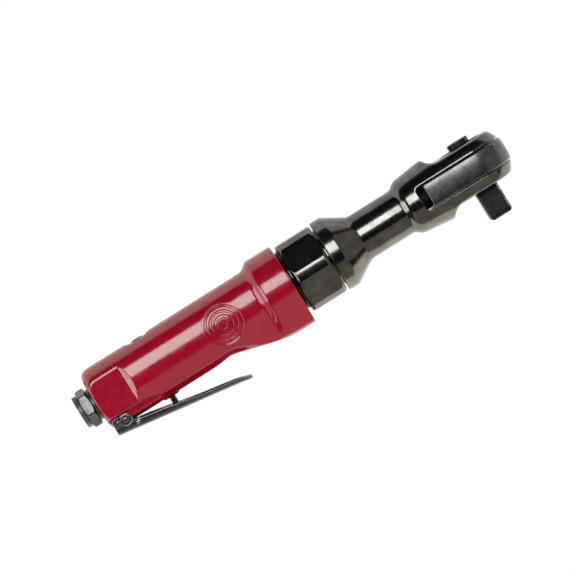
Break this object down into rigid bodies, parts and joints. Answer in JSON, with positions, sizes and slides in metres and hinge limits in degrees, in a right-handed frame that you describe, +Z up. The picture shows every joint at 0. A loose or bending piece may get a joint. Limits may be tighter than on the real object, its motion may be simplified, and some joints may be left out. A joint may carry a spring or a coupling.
{
  "type": "air ratchet wrench",
  "caption": "In-line air ratchet wrench: red grip with a throttle lever and hex air inlet, black coupling nut and neck, forked head with a swinging yoke, square drive and reversing lever.",
  "frame": {"origin": "under the middle of the tool's box, on the surface that it lies on", "axes": "+X along the tool from the air inlet to the head; +Y to the side of the reversing lever, so that the drive square points to -Y; +Z up, with the tool lying on its side"},
  "size_m": [0.261, 0.0534, 0.0422],
  "materials": {
    "red_paint": "gloss enamel on cast aluminium",
    "black_oxide": "black oxide, oiled and glossy",
    "brushed_steel": "dark and brushed",
    "bright_steel": "machined bright",
    "ground_steel": "ground and oiled",
    "cast_iron": "machined",
    "blade_resin": "phenolic resin and cloth",
    "rubber": "matte black",
    "spring_steel": "drawn wire",
    "bronze": "sintered and oiled"
  },
  "bodies": {
    "casing": {"handle_housing": "red_paint", "inlet_collar": "rubber", "inlet_bushing": "bright_steel", "inlet_gasket": "rubber", "inlet_strainer": "bronze", "lever_pin": "bright_steel", "valve_bushing": "bronze", "valve_spring": "spring_steel", "valve_plug": "brushed_steel", "plug_o_ring": "rubber", "rear_end_plate": "cast_iron", "rear_rotor_bearing": "ground_steel", "motor_cylinder": "cast_iron", "front_end_plate": "cast_iron", "front_rotor_bearing": "ground_steel", "ring_gear": "black_oxide", "rear_crank_bearing": "ground_steel", "front_crank_bearing": "ground_steel", "coupling_nut": "black_oxide", "nut_snap_ring": "spring_steel", "ratchet_housing": "black_oxide", "lower_thrust_washer": "ground_steel", "upper_thrust_washer": "ground_steel", "anvil_retaining_ring": "spring_steel"},
    "throttle_lever": {"throttle_lever": "black_oxide"},
    "throttle_valve": {"valve_stem": "black_oxide", "valve_seal": "rubber"},
    "rotor": {"rotor": "ground_steel"},
    "blade_1": {"rotor_blade_1": "blade_resin"},
    "blade_2": {"rotor_blade_2": "blade_resin"},
    "blade_3": {"rotor_blade_3": "blade_resin"},
    "blade_4": {"rotor_blade_4": "blade_resin"},
    "blade_5": {"rotor_blade_5": "blade_resin"},
    "crank": {"crankshaft": "black_oxide", "planet_pin_1": "ground_steel", "planet_pin_2": "ground_steel", "planet_pin_3": "ground_steel"},
    "planet_1": {"planet_gear_1": "ground_steel"},
    "planet_2": {"planet_gear_2": "ground_steel"},
    "planet_3": {"planet_gear_3": "ground_steel"},
    "drive_bushing": {"drive_bushing": "bronze"},
    "yoke": {"ratchet_yoke": "brushed_steel"},
    "anvil": {"anvil": "black_oxide", "pawl_pin": "ground_steel", "socket_ball_spring": "spring_steel"},
    "pawl": {"pawl": "ground_steel"},
    "reversing_lever": {"reversing_lever": "black_oxide", "plunger_spring": "spring_steel"},
    "pawl_plunger": {"pawl_plunger": "ground_steel"},
    "socket_ball": {"socket_ball": "ground_steel"}
  },
  "joints": [
    {"name": "lever_press", "type": "hinge", "parent": "casing", "child": "throttle_lever", "pos_m": [-0.11205, -0.00925, 0.0209], "axis": [0, 0, 1], "range_deg": [0, 7.5], "stiffness_Nm_per_rad": 0.4, "springref_deg": -11.46},
    {"name": "valve_lift", "type": "slide", "parent": "casing", "child": "throttle_valve", "axis": [0, 1, 0], "range_m": [0, 0.0036], "stiffness_N_per_m": 30, "springref_m": -0.002, "deforming": ["valve_spring"]},
    {"name": "crank_spin", "type": "hinge", "parent": "casing", "child": "crank", "pos_m": [0.01515, 0.00535, 0.0209], "axis": [1, 0, 0], "continuous": true},
    {"name": "rotor_spin", "type": "hinge", "parent": "casing", "child": "rotor", "pos_m": [-0.03985, 0.00535, 0.0209], "axis": [1, 0, 0], "continuous": true},
    {"name": "planet_1_spin", "type": "hinge", "parent": "crank", "child": "planet_1", "pos_m": [-0.01035, 0.00535, 0.02967], "axis": [1, 0, 0], "continuous": true},
    {"name": "planet_2_spin", "type": "hinge", "parent": "crank", "child": "planet_2", "pos_m": [-0.01035, 0.01295, 0.01651], "axis": [1, 0, 0], "continuous": true},
    {"name": "planet_3_spin", "type": "hinge", "parent": "crank", "child": "planet_3", "pos_m": [-0.01035, -0.00225, 0.01651], "axis": [1, 0, 0], "continuous": true},
    {"name": "bushing_spin", "type": "hinge", "parent": "crank", "child": "drive_bushing", "pos_m": [0.08515, 0.00755, 0.0209], "axis": [1, 0, 0], "continuous": true},
    {"name": "blade_1_slide", "type": "slide", "parent": "rotor", "child": "blade_1", "axis": [0, 1, 0], "range_m": [-0.0013, 0]},
    {"name": "blade_2_slide", "type": "slide", "parent": "rotor", "child": "blade_2", "axis": [0, 0.309, 0.9511], "range_m": [-0.0013, 0]},
    {"name": "blade_3_slide", "type": "slide", "parent": "rotor", "child": "blade_3", "axis": [0, -0.809, 0.5878], "range_m": [-0.0013, 0]},
    {"name": "blade_4_slide", "type": "slide", "parent": "rotor", "child": "blade_4", "axis": [0, -0.809, -0.5878], "range_m": [-0.0013, 0]},
    {"name": "blade_5_slide", "type": "slide", "parent": "rotor", "child": "blade_5", "axis": [0, 0.309, -0.9511], "range_m": [-0.0013, 0]},
    {"name": "yoke_swing", "type": "hinge", "parent": "casing", "child": "yoke", "pos_m": [0.11015, 0.00535, 0.0209], "axis": [0, 1, 0], "range_deg": [-4, 4]},
    {"name": "anvil_turn", "type": "hinge", "parent": "casing", "child": "anvil", "pos_m": [0.11015, 0.00535, 0.0209], "axis": [0, 1, 0], "continuous": true},
    {"name": "reversing_turn", "type": "hinge", "parent": "anvil", "child": "reversing_lever", "pos_m": [0.11015, 0.01935, 0.0209], "axis": [0, 1, 0], "range_deg": [0, 50]},
    {"name": "pawl_rock", "type": "hinge", "parent": "anvil", "child": "pawl", "pos_m": [0.11775, 0.00535, 0.0209], "axis": [0, 1, 0], "range_deg": [-14, 0]},
    {"name": "plunger_slide", "type": "slide", "parent": "reversing_lever", "child": "pawl_plunger", "axis": [0.9063, 0, 0.4226], "range_m": [-0.001, 0], "stiffness_N_per_m": 300, "springref_m": 0.002, "deforming": ["plunger_spring"]},
    {"name": "ball_press", "type": "slide", "parent": "anvil", "child": "socket_ball", "axis": [0, 0, 1], "range_m": [0, 0.0006], "stiffness_N_per_m": 800, "springref_m": -0.001, "deforming": ["socket_ball_spring"]}
  ],
  "couplings": [
    {"joint": "valve_lift", "follows": "lever_press", "m_per_rad": 0.0267},
    {"joint": "rotor_spin", "follows": "crank_spin", "ratio": 4.5},
    {"joint": "planet_1_spin", "follows": "crank_spin", "ratio": -2.8},
    {"joint": "planet_2_spin", "follows": "crank_spin", "ratio": -2.8},
    {"joint": "planet_3_spin", "follows": "crank_spin", "ratio": -2.8},
    {"joint": "bushing_spin", "follows": "crank_spin", "ratio": -1},
    {"joint": "pawl_rock", "follows": "reversing_turn", "ratio": -0.28}
  ]
}
